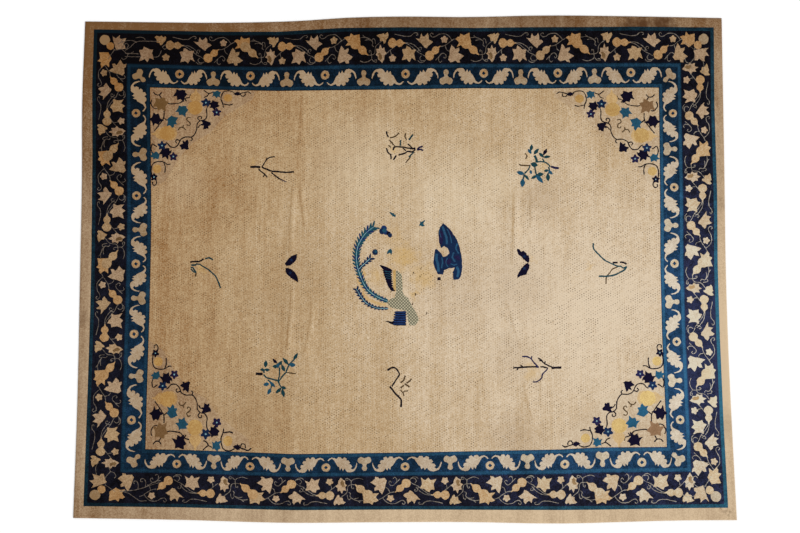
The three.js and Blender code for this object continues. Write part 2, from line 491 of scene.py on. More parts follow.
SPRAY_STEMS = [
    [(852, 972), (868, 983), (890, 978), (912, 972)], [(912, 972), (904, 954), (886, 957), (884, 974)],
    [(944, 978), (972, 988), (1002, 982), (1014, 960), (1018, 930), (1008, 904), (1004, 880)],
    [(952, 902), (972, 896), (1004, 902)], [(1066, 975), (1086, 967), (1100, 975), (1116, 988)],
    [(1086, 967), (1096, 950), (1114, 942)],
    [(1092, 888), (1098, 864), (1096, 828), (1108, 806), (1134, 798), (1150, 780), (1152, 748), (1164, 720),
     (1182, 705), (1214, 705), (1240, 692), (1252, 666), (1270, 648), (1298, 649), (1312, 665), (1324, 673)],
    [(1134, 798), (1146, 812), (1140, 825), (1126, 823), (1128, 811)],
    [(1118, 779), (1135, 773), (1143, 759)],
    [(1182, 705), (1176, 691), (1186, 683)], [(1244, 684), (1262, 690), (1270, 680), (1262, 670)],
    [(1172, 956), (1192, 940), (1220, 931), (1240, 907), (1274, 899), (1302, 897), (1324, 905)],
    [(1192, 940), (1188, 958)], [(1220, 931), (1210, 915)],
    [(1346, 966), (1360, 950), (1381, 952), (1391, 966)], [(1360, 950), (1348, 930)],
    [(1400, 922), (1406, 899), (1391, 871), (1370, 869)],
    [(1334, 855), (1336, 815), (1361, 775), (1388, 739)], [(1336, 815), (1318, 799)],
    [(1374, 650), (1388, 658), (1400, 666), (1407, 638), (1400, 608)],
    [(1298, 550), (1316, 550), (1338, 564), (1379, 564), (1401, 548), (1408, 518), (1404, 484)],
    [(1338, 564), (1328, 536), (1330, 504)], [(1316, 602), (1300, 614), (1294, 632)],
    [(1381, 466), (1377, 446), (1387, 432), (1401, 438), (1399, 452)],
]
SPRAY_TENDRILS = [
    [(1186, 815), (1202, 819), (1208, 803), (1192, 791), (1188, 775), (1202, 769), (1206, 779)],
    [(1212, 744), (1230, 760), (1248, 758), (1254, 744)], [(1230, 760), (1226, 774)],
]
SPRAY_STEM_WIDTH = 6.5
SPRAY_CLEFT = 0.19
FLOWER_EYE = 0.2
# How far each spray stands from its place in an exact mirror image
SPRAY_STRAYS = {(-1, 1): (-5, 9), (1, 1): (0, -4), (-1, -1): (20, -11), (1, -1): (6, -8)}
for x_way in (-1, 1):
    for y_way in (-1, 1):
        knot(np.array(SPRAY_PLAIN) * (x_way, y_way), "camel_plain")
        spray = [stem(points, SPRAY_STEM_WIDTH, "bark") for points in SPRAY_STEMS]
        spray += [stem(points, SPRAY_STEM_WIDTH, "olive") for points in SPRAY_TENDRILS]
        spray += [spindle(base, tip, width, "camel_gold", GOURD) for base, tip, width in SPRAY_GOURDS]
        spray += [(round_outline(size) + (x, y), "apricot") for x, y, size in SPRAY_BULBS]
        spray += [leaf(*row) for row in SPRAY_LEAVES]
        for x, y, size, dye in SPRAY_FLOWERS:
            spray.append(flower(x, y, size, dye, cleft=SPRAY_CLEFT))
            spray.append(flower(x, y, size * FLOWER_EYE, "pale_blue"))
        for outline, dye in spray:
            knot(outline * (x_way, y_way) + SPRAY_STRAYS[x_way, y_way], dye)

# The sprays scattered on the field: bare prunus twigs, leafy branches, blades of grass and two
# butterflies. Pairs answer each other across the middle, but no two are quite the same. Tufts open
# out at their tips, so a line of knots shows wider than it is counted out.
TUFT_SPREAD = 2.2
LEAF_SPREAD = 3.5
# Each row is a width and a line of points, by dye
FIELD_STEMS = {
    "bark": [
        (11, [(-855, 544), (-826, 545), (-800, 543)]),
        (7, [(-792, 543), (-760, 530), (-738, 521), (-700, 518), (-655, 514), (-612, 517)]),
        (5, [(-791, 545), (-778, 566), (-765, 586), (-745, 599), (-720, 602)]),
        (4, [(-765, 586), (-765, 598)]), (5, [(-809, 533), (-795, 518), (-775, 503), (-760, 486)]),
        (4, [(-775, 503), (-783, 488)]), (5, [(-738, 513), (-720, 498), (-700, 483), (-680, 471)]),
        (7, [(64, 650), (44, 648), (0, 655), (-40, 659), (-57, 654), (-62, 638)]),
        (7, [(62, 644), (46, 630), (20, 632), (0, 620), (-32, 612)]), (5, [(46, 651), (20, 676)]),
        (5, [(-8, 650), (12, 636)]), (6, [(-98, 652), (-94, 634), (-84, 620), (-70, 612)]),
        (6, [(-74, 613), (-73, 588)]), (6, [(-44, 610), (-60, 584)]),
        (6, [(-98, 748), (-96, 730), (-88, 713)]),
        (12, [(-812, -601), (-775, -602)]),
        (7, [(597, -569), (620, -568), (660, -565), (710, -563), (736, -566)]),
        (6, [(745, -563), (768, -565), (786, -572)]), (10, [(806, -571), (826, -568), (860, -567)]),
        (6, [(815, -568), (790, -557), (765, -543), (750, -526), (734, -515)]),
        (4, [(770, -546), (772, -532)]), (5, [(626, -567), (617, -581)]), (5, [(650, -565), (636, -553)]),
        (4, [(752, -528), (740, -530)]),
        (8, [(-79, -668), (-54, -701), (-19, -737), (-16, -752), (-18, -779)]),
        (7, [(-92, -583), (-74, -571), (-51, -568), (-35, -586), (-26, -603), (-35, -621), (-48, -639),
             (-67, -669)]),
        (7, [(1150, 9), (1178, 10)]), (7, [(1190, 12), (1210, 11), (1228, 0)]),
        (7, [(-1184, 12), (-1165, 16), (-1145, 15), (-1130, 18), (-1108, 31)]),
    ],
    "olive": [
        (5, [(-80, 710), (-50, 718), (-28, 740)]), (5, [(-82, 698), (-68, 680), (-52, 662)]),
        (5, [(-88, 668), (-74, 655)]), (5, [(38, 605), (8, 567)]), (5, [(8, 736), (5, 716), (14, 698)]),
        (6, [(640, 561), (650, 553), (702, 552)]), (5, [(672, 622), (684, 606), (676, 590)]),
        (5, [(-648, -592), (-620, -597), (-592, -600)]), (6, [(-1150, -48), (-1153, -68)]),
        (6, [(5, -609), (-3, -635), (-21, -649)]), (6, [(40, -627), (30, -640), (13, -652)]),
        (6, [(2, -654), (28, -673)]), (6, [(-2, -663), (-20, -678)]),
        (5, [(-21, -688), (-7, -705), (0, -721)]),
        (5, [(21, -693), (2, -695), (-2, -702)]),
        (5, [(1178, -14), (1150, -25), (1135, -45), (1120, -62), (1113, -78), (1112, -108)]),
    ],
    "teal": [
        (6, [(55, 629), (26, 601)]), (6, [(-20, 696), (-22, 664)]), (7, [(50, 730), (36, 711), (27, 697)]),
        (12, [(726, 608), (735, 590), (738, 568)]), (6, [(812, 545), (800, 560), (780, 572), (742, 573)]),
        (6, [(700, 550), (690, 530), (668, 506)]), (6, [(727, 552), (729, 522), (736, 500)]),
        (6, [(801, 545), (808, 522), (798, 504)]), (6, [(668, 502), (660, 474)]),
        (5, [(780, 572), (770, 592)]),
        (6, [(-770, -604), (-755, -620), (-715, -632), (-680, -640)]),
        (6, [(-688, -634), (-682, -600), (-684, -566)]), (6, [(-768, -596), (-765, -576)]),
        (6, [(-682, -636), (-665, -612), (-648, -594), (-640, -574), (-630, -550), (-600, -522)]),
        (5, [(-746, -634), (-726, -652), (-729, -680)]), (6, [(-690, -640), (-681, -660), (-670, -674)]),
        (6, [(-1150, 2), (-1130, 0), (-1105, -15), (-1080, -30), (-1060, -48), (-1042, -65), (-1026, -95),
             (-1012, -132)]),
        (7, [(-1100, 31), (-1085, 36), (-1070, 34), (-1057, 25)]), (8, [(-1180, -4), (-1150, -3)]),
        (6, [(-1182, -18), (-1170, -18), (-1158, -34), (-1149, -47)]),
        (6, [(-1180, -25), (-1165, -40), (-1150, -45)]),
        (6, [(1045, 118), (1045, 92), (1058, 72), (1086, 42), (1113, 19), (1148, 3), (1177, -10),
             (1194, -10), (1209, -20), (1228, -11)]),
        (7, [(1228, -11), (1215, -30), (1195, -42), (1170, -55), (1145, -62), (1115, -66), (1072, -65)]),
    ],
    "violet": [
        (8, [(72, 641), (85, 655), (104, 661)]), (7, [(72, 641), (95, 643), (106, 636)]),
        (10, [(816, 547), (836, 540), (860, 537)]), (4, [(-680, 471), (-655, 460)]),
        (6, [(786, -572), (770, -590), (757, -602), (752, -622), (740, -635), (722, -645), (703, -645)]),
        (6, [(735, -568), (720, -550), (710, -540), (695, -520), (675, -508), (645, -508)]),
        (4, [(697, -520), (700, -505)]),
    ],
}
# Base, tip and width, by dye
FIELD_BLADES = {
    "teal": [
        ((706, 636), (712, 673), 16), ((722, 616), (750, 649), 16), ((750, 624), (778, 598), 15),
        ((774, 599), (816, 603), 13), ((704, 562), (744, 553), 24), ((695, 470), (664, 504), 12),
        ((737, 500), (777, 505), 19), ((738, 497), (704, 477), 13), ((776, 521), (804, 526), 13),
        ((798, 508), (800, 463), 19), ((-760, -566), (-757, -527), 19), ((-766, -579), (-789, -577), 14),
        ((-765, -579), (-734, -580), 13), ((-688, -556), (-668, -530), 14),
        ((-690, -560), (-722, -562), 17), ((-654, -588), (-672, -549), 16),
        ((-634, -551), (-666, -514), 16), ((-606, -526), (-583, -488), 15),
        ((-672, -676), (-702, -706), 15), ((-674, -673), (-644, -680), 15),
        ((-668, -682), (-656, -727), 17),
    ],
    "leaf_blue": [
        ((690, 646), (708, 618), 14), ((668, 504), (623, 517), 19), ((660, 478), (655, 430), 23),
        ((732, 500), (773, 453), 20), ((802, 523), (826, 502), 14), ((-630, -552), (-594, -553), 20),
        ((-690, -542), (-692, -570), 17), ((-738, -655), (-770, -661), 18),
        ((-736, -644), (-704, -674), 14), ((-729, -680), (-746, -712), 17), ((702, 526), (706, 503), 12),
    ],
    "ink": [((774, 610), (796, 649), 15), ((-697, -544), (-721, -519), 13)],
}
BUTTERFLY_WINGS = [
    [(-660, 2), (-655, 9), (-642, 29), (-622, 46), (-600, 55), (-593, 59), (-592, 40), (-598, 22), (-612, 5),
     (-630, -6), (-650, -8)],
    [(-655, -20), (-655, -40), (-645, -56), (-626, -74), (-610, -85), (-593, -94), (-583, -101), (-585, -80),
     (-592, -60), (-605, -40), (-625, -25), (-640, -20)],
    [(622, 87), (635, 85), (646, 70), (658, 76), (675, 62), (678, 50), (688, 51), (692, 33), (688, 11),
     (680, 11), (662, 25), (646, 41), (633, 51), (625, 67)],
    [(683, 10), (692, -5), (690, -20), (680, -38), (675, -55), (655, -62), (640, -65), (625, -76),
     (624, -60), (632, -45), (642, -28), (655, -12), (670, 2)],
]
WING_EYES = [(-622, 24, 9), (-628, -48, 9), (664, 44, 10), (662, -22, 10)]
for dye, rows in FIELD_STEMS.items():
    for width, points in rows:
        knot(*stem(points, width + TUFT_SPREAD, dye))
for dye, rows in FIELD_BLADES.items():
    for base, tip, width in rows:
        knot(*spindle(base, tip, width + LEAF_SPREAD, dye))
for wing in BUTTERFLY_WINGS:
    knot(wing, "ink")
for row in WING_EYES:
    knot(*flower(*row, "rock_blue"))

# The middle of the field: a phoenix with a long barbed tail stands left of a pierced scholar's rock,
# with loose blossoms about them. Tail feathers are a pale quill with close barbs on both sides.
# Quill, barb length, barb dyes in turn
FEATHERS = [
    ([(-170, 207), (-196, 188), (-228, 154), (-255, 101), (-264, 47), (-260, -1), (-249, -43), (-223, -107),
      (-191, -150), (-143, -182), (-92, -203)], 42, ("tail_teal", "tail_teal", "tail_navy")),
    ([(-186, 34), (-207, 15), (-228, -4), (-250, -26)], 31, ("rock_blue",)),
    ([(-262, -138), (-239, -177), (-207, -214), (-153, -240), (-89, -244)], 26, ("rock_blue",)),
]
FEATHER_GOLD = [
    ([(-262, -66), (-244, -112), (-214, -152)], 13),
    ([(-232, -158), (-196, -194), (-140, -217), (-98, -223)], 17), ([(-214, 132), (-202, 150)], 14),
    ([(-228, -36), (-214, -64)], 16),
]
BARB = [(0, 0.8), (0.4, 1), (0.75, 0.9), (0.93, 0.55), (1, 0.2)]
BARB_GAP, BARB_WIDTH, BARB_LEAN, BARB_TAPER, BARB_ROOT = 19, 12, 40, 0.42, 0.2
QUILL_WIDTH = 3
FEATHER_FILL = 0.5


def feather(quill, barb_length, barb_dyes):
    line = rounded(quill, closed=False)
    along = np.gradient(line, axis=0)
    reach = np.concatenate(([0], np.cumsum(np.hypot(*np.diff(line, axis=0).T))))
    knot(*stem(quill, barb_length * FEATHER_FILL, barb_dyes[0]))
    for step, place in enumerate(np.arange(BARB_GAP / 3, reach[-1], BARB_GAP)):
        root = np.array([np.interp(place, reach, line[:, i]) for i in (0, 1)])
        run = np.array([np.interp(place, reach, along[:, i]) for i in (0, 1)])
        heading = math.degrees(math.atan2(-run[1], -run[0]))
        swell = 1 - BARB_TAPER * place / reach[-1]
        dye = barb_dyes[step % len(barb_dyes)]
        for way in (-1, 1):
            tip = root + turned([(barb_length * swell, 0)], heading + way * BARB_LEAN)[0]
            knot(*spindle(root - (tip - root) * BARB_ROOT, tip, BARB_WIDTH * swell, dye, BARB))
    knot(*stem(quill, QUILL_WIDTH, "pale_blue"))


for points, width in FEATHER_GOLD:
    knot(*stem(points, width, "camel_gold"))
for row in FEATHERS:
    feather(*row)
PHOENIX_BODY = [
    (-46, -36), (-30, -38), (-13, -60), (-8, -113), (-9, -150), (1, -171), (23, -187), (44, -230),
    (74, -283), (80, -310), (60, -337), (28, -337), (20, -305), (12, -257), (-15, -251), (-47, -246),
    (-79, -235), (-95, -209), (-79, -193), (-52, -182), (-44, -150), (-47, -97),
]
WING_GOLD = [(-62, -34), (-48, -24), (-46, -150), (-60, -150)]
WING_TIP = [(-138, -2), (-116, -7), (-92, -16), (-70, -28), (-64, -40), (-108, -40), (-124, -20)]
WING_BARS = [
    (-116, -70), (-113, -70), (-109, -70), (-105, -69), (-101, -67), (-97, -66), (-92, -64), (-86, -61),
    (-77, -55),
]
WING_TOP, WING_BAR, TEAL_BARS = -34, 12.5, 4
LOWER_WING_TIP = [(-111, -310), (-80, -314), (-56, -318), (-50, -334), (-62, -334), (-86, -322)]
LOWER_WING = [(-56, -338), (8, -338), (8, -262), (-46, -262)]
LOWER_WING_BARS, LOWER_WING_FOOT, LOWER_WING_STEP = 6, (-60, -336), (2.2, 13)
ROCK = [
    (215, 231), (252, 197), (289, 143), (308, 90), (319, 31), (321, -17), (313, -65), (300, -83),
    (271, -86), (268, -43), (279, -19), (247, -22), (220, -33), (215, -57), (185, -54), (167, -17),
    (161, 10), (169, 79), (177, 87), (204, 63), (215, 42), (236, 47), (249, 63), (241, 90), (220, 101),
    (204, 90), (193, 122), (188, 181), (199, 207),
]
ROCK_FOOT = [(184, -70), (200, -70), (202, -88), (182, -88)]
# Width and line of the lighter bands in the rock, and its violet parts
ROCK_VEINS = [
    (12, [(214, 212), (222, 180), (234, 150), (236, 112)]), (6, [(238, 196), (254, 160), (262, 118)]),
    (14, [(180, 60), (178, 28), (186, 0), (190, -40)]), (7, [(208, 40), (212, 14), (206, -22)]),
    (9, [(274, 66), (266, 40), (280, 14)]), (13, [(290, -12), (300, -40), (292, -70)]),
    (8, [(294, 116), (286, 88), (302, 60)]), (5, [(238, 34), (230, 8), (242, -14)]),
    (5, [(256, 4), (274, -4), (292, 2)]), (4, [(198, 200), (196, 176), (204, 150)]),
]
ROCK_SHADE = [
    [(193, 186), (212, 180), (216, 140), (206, 108), (194, 124)],
    [(244, 198), (262, 172), (268, 152), (252, 162)], [(222, 30), (256, 28), (258, 6), (226, 2)],
    [(276, 44), (300, 50), (308, 22), (288, 28)],
]
BLOSSOMS = [
    (-112, 200, 17, "tail_navy"), (-122, 184, 17, "rock_blue"), (-102, 178, 15, "tail_navy"),
    (-110, 188, 12, "leaf_blue"), (-86, 172, 12, "ink"), (-78, 162, 13, "rock_blue"),
    (-161, 68, 17, "rock_blue"), (-157, 71, 8, "leaf_blue"),
]
SPRIGS = [
    ((-94, 58), (-72, 88), 15), ((-72, 54), (-72, 84), 12), ((-90, 76), (-76, 62), 11),
    ((-82, 292), (-46, 262), 13), ((-58, 286), (-64, 264), 10), ((-50, 280), (-52, 262), 9),
    ((82, 214), (116, 246), 14), ((114, 216), (86, 220), 13), ((90, 240), (96, 222), 9),
]
SPECKS = [
    (49, -46, 7), (60, -166, 8), (121, -270, 7), (44, -219, 8), (86, -68, 5), (90, -24, 5), (-74, -150, 5),
]
knot(PHOENIX_BODY, "scales")
knot(WING_GOLD, "apricot")
knot(WING_TIP, "ink")
for row, (left, right) in enumerate(WING_BARS):
    level = WING_TOP - row * WING_BAR
    knot([(left - 5, level + 3), (left + 8, level + 4), (right - 4, level - 2), (right + 6, level - 12),
          (right - 6, level - 15), (left + 4, level - 11)], "ink")
    if row < TEAL_BARS:
        knot([(left + 6, level - 1), (right - 6, level - 6), (right - 2, level - 10),
              (left + 8, level - 5)], "tail_teal")
knot(LOWER_WING_TIP, "bark")
knot(LOWER_WING, "ink")
for bar in range(LOWER_WING_BARS):
    left = LOWER_WING_FOOT[0] + bar * LOWER_WING_STEP[0]
    low = LOWER_WING_FOOT[1] + bar * LOWER_WING_STEP[1]
    knot([(left - 7, low + 8), (left, low), (7, low), (14, low + 6), (7, low + 13),
          (left + 2, low + 13)], "ink")
    knot([(left - 3, low + 8), (left + 2, low + 3.5), (6, low + 3.5), (11, low + 6.5), (6, low + 11),
          (left + 3, low + 11)], "tail_navy")
knot(ROCK, "rock_blue")
knot(ROCK_FOOT, "ink")
for outline in ROCK_SHADE:
    knot(rounded(outline), "violet")
for width, points in ROCK_VEINS:
    knot(*stem(points, width, "pale_rock"))
for x, y, size, dye in BLOSSOMS:
    knot(round_outline(size, 9) + (x, y), dye)
for base, tip, width in SPRIGS:
    knot(*spindle(base, tip, width, "tail_teal"))
for x, y, size in SPECKS:
    knot(*spindle((x, y - size), (x + 4, y + size), size, "olive"))

# The cloth itself: a closed mesh whose pile side and back are cut along every outline, as the back
# of a knotted carpet shows the same pattern. Each area takes the dye that was knotted there last.
GRID_GAP, GRID_START, GRID_STOP = 42, 30, 20
MERGED, SLIVER = 1e-4, 1e-6
CLOTH = (THICKNESS - 0.2) * MM
BACK_LIFT = 0.4 * MM
SWELL, SWELL_SIZE, SWELL_MARGIN = 0.7 * MM, 0.22, 60
# Narrow folds beside the broad creases of the solid: rise, half width and line, in mm
FOLDS = [
    (3, 20, [(-606, 450), (-620, 300), (-624, 40)]), (3.6, 20, [(-614, -100), (-620, -260), (-638, -480)]),
    (2.8, 20, [(-574, 470), (-562, 340), (-544, 200)]),
    (2.6, 20, [(-502, -200), (-510, -330), (-544, -510)]), (2.4, 26, [(-562, 950), (-566, 690)]),
    (4, 26, [(620, 420), (618, 300), (612, 120), (606, 0)]), (2.2, 18, [(710, 400), (708, 200)]),
    (2.6, 18, [(570, -200), (604, -330), (644, -460)]), (2.6, 18, [(658, -650), (680, -760), (710, -850)]),
    (2.2, 18, [(754, -600), (748, -800)]),
]
FOLD_ROWS = (0, 0.5, 1)
# Painted shade on the left of a fold, away from the lamp, and a painted highlight on its right
SHADED_SIDE, LIT_SIDE = 1.2, 0.65


def inside(points, outline):
    ahead = np.roll(outline, -1, axis=0)
    run = ahead - outline
    x, y = points[:, :1], points[:, 1:]
    side = run[:, 0] * (y - outline[:, 1]) - (x - outline[:, 0]) * run[:, 1]
    rising = (outline[:, 1] <= y) & (ahead[:, 1] > y) & (side > 0)
    falling = (outline[:, 1] > y) & (ahead[:, 1] <= y) & (side < 0)
    return rising.sum(axis=1) != falling.sum(axis=1)


# The folds' rise, and their painted shading: darker on the side away from the lamp, paler on the side
# towards it
def folds_at(places):
    rise, fold_shade = np.zeros(len(places)), np.zeros(len(places))
    for height, half_width, line in FOLDS:
        line = rounded(line, closed=False)
        gaps = np.hypot(places[:, :1] - line[:, 0], places[:, 1:] - line[:, 1])
        nearest = gaps.argmin(axis=1)
        across = np.clip(gaps.min(axis=1) / half_width, 0, 1)
        share = height * np.sin(math.pi * (nearest + 0.5) / len(line)) ** 0.5
        rise += share * (1 + np.cos(math.pi * across)) / 2
        side = np.where(places[:, 0] < line[nearest, 0], -SHADED_SIDE, LIT_SIDE)
        fold_shade += share * side * np.sin(math.pi * across)
    return rise * MM, fold_shade


columns = np.arange(GRID_START - CARPET[0], CARPET[0] - GRID_STOP, GRID_GAP)
rows = np.arange(GRID_START - CARPET[1], CARPET[1] - GRID_STOP, GRID_GAP)
points = [np.array([(x, y) for x in columns for y in rows])]
for _, half_width, line in FOLDS:
    points += [stem(line, 2 * half_width * row, "")[0][::2] for row in FOLD_ROWS]
edges = []
count = sum(len(group) for group in points)
for _, outline, _ in knotted:
    loop = np.arange(len(outline)) + count
    edges += list(zip(loop.tolist(), np.roll(loop, -1).tolist()))
    points.append(outline)
    count += len(outline)
cut = geometry.delaunay_2d_cdt([Vector(p) for p in np.vstack(points)], edges, [], 0, MERGED, False)
flat = np.array([tuple(v) for v in cut[0]])
faces = np.array(cut[2])
corner = flat[faces]
facing = np.cross(corner[:, 1] - corner[:, 0], corner[:, 2] - corner[:, 0])
faces = faces[np.abs(facing) > SLIVER]
middles = flat[faces].mean(axis=1)
dyes = sorted({dye for _, _, dye in knotted})
face_dye = np.zeros(len(faces), int)
for outline, _, dye in knotted:
    within = (middles >= outline.min(axis=0)) & (middles <= outline.max(axis=0))
    near = np.nonzero(within.all(axis=1))[0]
    face_dye[near[inside(middles[near], outline)]] = dyes.index(dye)

place = laid(flat) * MM
heights = np.array([pile_height(x, y) for x, y in place])
swells = np.array([noise.noise((x / SWELL_SIZE, y / SWELL_SIZE, 0)) for x, y in place]) * SWELL
edge_distance = np.minimum(CARPET[0] - np.abs(flat[:, 0]), CARPET[1] - np.abs(flat[:, 1]))
rise, fold_shade = folds_at(flat)
top = heights + rise + swells * np.clip(edge_distance / SWELL_MARGIN, 0, 1)
back = np.clip(top - CLOTH, BACK_LIFT, None)
vertices = np.vstack((np.column_stack((place, top)), np.column_stack((place, back))))
steps = np.vstack((faces[:, [0, 1]], faces[:, [1, 2]], faces[:, [2, 0]]))
known = {tuple(step) for step in steps.tolist()}
rim = np.array([step for step in steps.tolist() if (step[1], step[0]) not in known])
lower = len(flat)
walls = np.column_stack((rim + lower, rim[:, ::-1]))
polygons = faces.tolist() + (faces[:, ::-1] + lower).tolist() + walls.tolist()
cloth = bpy.data.meshes.new("carpet_pile")
cloth.from_pydata(vertices.tolist(), [], polygons)
dye_of = np.concatenate((face_dye, face_dye, np.full(len(walls), dyes.index("camel_band"))))
cloth.polygons.foreach_set("material_index", dye_of.astype(np.int32))
cloth.polygons.foreach_set("use_smooth", np.ones(len(polygons), bool))
# Painted shade and highlight beside the folds, for the field's wool
cloth.attributes.new("fold_painted_shade", "FLOAT", "POINT").data.foreach_set("value", np.tile(fold_shade, 2))

# A flat map for the whole cloth: the pile side large, the back and the rim small below it
MAP_MARGIN = 20
MAP_SIDE = 2 * (CARPET[0] + MAP_MARGIN)
PILE_AT, BACK_AT, BACK_SHARE = (0, 0.21), (0.005, 0.005), 0.24
RIM_AT, RIM_LENGTH, RIM_FILL, RIM_HEIGHT = (0.3, 0.1), 0.65, 0.6, 0.004
fitted = (laid(flat) + (MAP_SIDE / 2, CARPET[1] + MAP_MARGIN)) / MAP_SIDE
corner_of = np.zeros(len(cloth.loops), np.int32)
cloth.loops.foreach_get("vertex_index", corner_of)
maps = np.vstack((fitted + PILE_AT, fitted * BACK_SHARE + BACK_AT))[corner_of]
first_wall = 2 * faces.size
wall_start = np.repeat(np.arange(len(walls)), 4)[:, None] * (RIM_LENGTH / len(walls), 0)
wall_corner = np.tile([(0, 0), (1, 0), (1, 1), (0, 1)], (len(walls), 1))
maps[first_wall:] = wall_start + RIM_AT + wall_corner * (RIM_FILL / len(walls), RIM_HEIGHT)
cloth.uv_layers.new(name="OFBake").data.foreach_set("uv", maps.ravel())
cloth.update()
carpet = bpy.data.objects.new("carpet_pile", cloth)
bpy.context.scene.collection.objects.link(carpet)
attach(carpet, "root")
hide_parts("carpet")

# Hand-spun wool, dyed in small lots and knotted in rows that run across the carpet, so every colour
# shifts in streaks (abrash) and from knot to knot, and has faded unevenly. Each colour also carries
# painted light: paler towards the right and the near side, darker towards the far left. Cut pile
# gives a matt, softly glowing surface with a fine grain of tuft ends, never a gloss.
# Knots and fibres are drawn coarser than they are, since the real ones are too fine to show
KNOT, FIBRE, TUFT_DEPTH = 4.6 * MM, 1.4 * MM, -1.2
STREAK, FINE_STREAKS = (0.085, 1.4), 6
SOIL_SIZE, BLOTCH = 0.4, 45 * MM
PALENESS_CURVE, FOLD_SHADE_STRENGTH = 1.5, 0.055

# From the fresh colour to the palest one, which stands for faded wool and for painted light
DYES = {
    "camel_field": ("865e35", "b49974", "d6c3a9"), "camel_plain": ("7c5c40", "aa9070", "d0bea4"),
    "camel_band": ("6b4a2b", "ccb494"), "camel_gold": ("8e683c", "b89664", "ccb186"),
    "navy": ("060405", "191925", "2e3350"), "indigo": ("060e15", "142b40", "284a6e"),
    "stripe_blue": ("0b1d29", "22465f", "346488"), "edge_teal": ("08141a", "1e4050", "326880"),
    "ink": ("0a0610", "16132c"), "cream": ("92785a", "d8ccb8"), "sand": ("806444", "d4c8b0"),
    "gold": ("784f24", "b49268", "d0c0a2"), "wheat": ("6e4f2e", "b29672", "d2c6ac"),
    "straw": ("6e523a", "b49a7c", "d2c8b2"), "rose": ("6a4e32", "b09472", "ccbca2"),
    "apricot": ("966c38", "dcc080"), "vine": ("50443a", "beb6a6"), "umber": ("543c22", "b6966c"),
    "brown_leaf": ("5f4424", "97765a"), "leaf_blue": ("19363f", "2b6080"), "teal": ("122a2c", "244c56"),
    "bark": ("100a0c", "1c1622"), "olive": ("3c2c1a", "604c34"), "violet": ("170f24", "2a2850"),
    "pale_blue": ("6f969c", "94b4b8"), "rock_blue": ("0e182c", "1d3256"), "pale_rock": ("203a50", "305e80"),
    "tail_teal": ("14343e", "285868"), "tail_navy": ("101c38", "284274"), "scales": ("a89c7c", "c4bca2"),
}
# Where a kind of dye is palest, from fading and painted light, its falloff each way, its paleness there and
# the loss per metre
FADING_AND_PAINTED_LIGHT = {
    "field": ((1.0, -0.25, 0), (1, 1.25, 0), 1.06, -0.34),
    "band": ((0.75, -0.55, 0), (0.74, 1.15, 0), 1.4, -0.54),
    "ground": ((4, -0.53, 0), (0.36, 1.22, 0), 1.31, -0.454),
    "pattern": ((3, -0.44, 0), (0.36, 0.87, 0), 1.23, -0.594),
    "leaves": ((3, -0.52, 0), (0.174, 0.444, 0), 1.24, -1),
}
GRADIENT_GROUPS = {
    "field": ("camel_field", "camel_plain", "camel_gold"), "band": ("camel_band",),
    "ground": ("navy", "indigo"), "leaves": ("gold", "wheat", "straw", "rose"),
}
# How much the streaks, soiling, fine streaks, blotches and single tufts of each kind differ
UNEVEN = {
    "field": (0.36, 0.4, 0.36, 0.2, 0.36), "band": (0.6, 0.4, 0.3, 0.2, 0.3),
    "ground": (0.35, 0.4, 0.1, 0.6, 0.35), "pattern": (0.25, 0.3, 0.1, 0.4, 0.3),
    "leaves": (0.2, 0.25, 0.1, 0.25, 0.3),
}


def linear(hex_colour):
    channels = [int(hex_colour[i : i + 2], 16) / 255 for i in (0, 2, 4)]
    return [c / 12.92 if c <= 0.04045 else ((c + 0.055) / 1.055) ** 2.4 for c in channels] + [1]


def add(tree, kind, inputs=(), **settings):
    made = tree.nodes.new("ShaderNode" + kind)
    for name, value in settings.items():
        setattr(made, name, value)
    for socket, value in dict(inputs).items():
        if isinstance(value, bpy.types.NodeSocket):
            tree.links.new(value, made.inputs[socket])
        else:
            made.inputs[socket].default_value = value
    return next(output for output in made.outputs if output.enabled)


# Single brown knots in staggered rows over the field, worn away in places
DOT_PITCH = (24.5 * MM, 13.8 * MM)
DOT_RADIUS, DOT_SOFT, DOT_STRAY = 2.6 * MM, 0.4, 3 * MM
DOT_WEAR, WORN_FROM, WORN_TO = 0.11, 0.36, 0.62
WORN_STRENGTH, DOT_STRENGTH = 0.48, 1.05
DOT_BROWN = "4a3522"


def dotted(tree, at, colour, shift):
    pitch = (1 / DOT_PITCH[0], 1 / DOT_PITCH[1], 0)
    cells = add(tree, "VectorMath", {0: at, 1: pitch, 2: (*shift, 0)}, operation="MULTIPLY_ADD")
    cell = add(tree, "VectorMath", {0: cells}, operation="FLOOR")
    chance = add(tree, "TexWhiteNoise", {"Vector": cell}, noise_dimensions="2D")
    aside = chance.node.outputs["Color"]
    off = add(tree, "VectorMath", {0: cells}, operation="FRACTION")
    off = add(tree, "VectorMath", {0: off, 1: (0.5, 0.5, 0)}, operation="SUBTRACT")
    off = add(tree, "VectorMath", {0: off, 1: (*DOT_PITCH, 0)}, operation="MULTIPLY")
    off = add(tree, "VectorMath", {0: aside, 1: (DOT_STRAY, DOT_STRAY, 0), 2: off},
              operation="MULTIPLY_ADD")
    off = add(tree, "VectorMath", {0: off}, operation="LENGTH")
    wear_and_fold_shade = add(tree, "TexNoise", {"Vector": at, "Scale": 1 / DOT_WEAR, "Detail": 2})
    wear_and_fold_shade = add(tree, "MapRange", {0: wear_and_fold_shade, 1: WORN_FROM, 2: WORN_TO, 3: WORN_STRENGTH, 4: DOT_STRENGTH})
    edge = (DOT_RADIUS * (1 - DOT_SOFT), DOT_RADIUS * (1 + DOT_SOFT))
    mark = add(tree, "MapRange", {0: off, 1: edge[0], 2: edge[1], 3: 1, 4: 0})
    mark = add(tree, "Math", {0: mark, 1: chance}, operation="MULTIPLY")
    mark = add(tree, "Math", {0: mark, 1: wear_and_fold_shade}, operation="MULTIPLY")
    return add(tree, "Mix", {"Factor": mark, 6: colour, 7: linear(DOT_BROWN)}, data_type="RGBA")
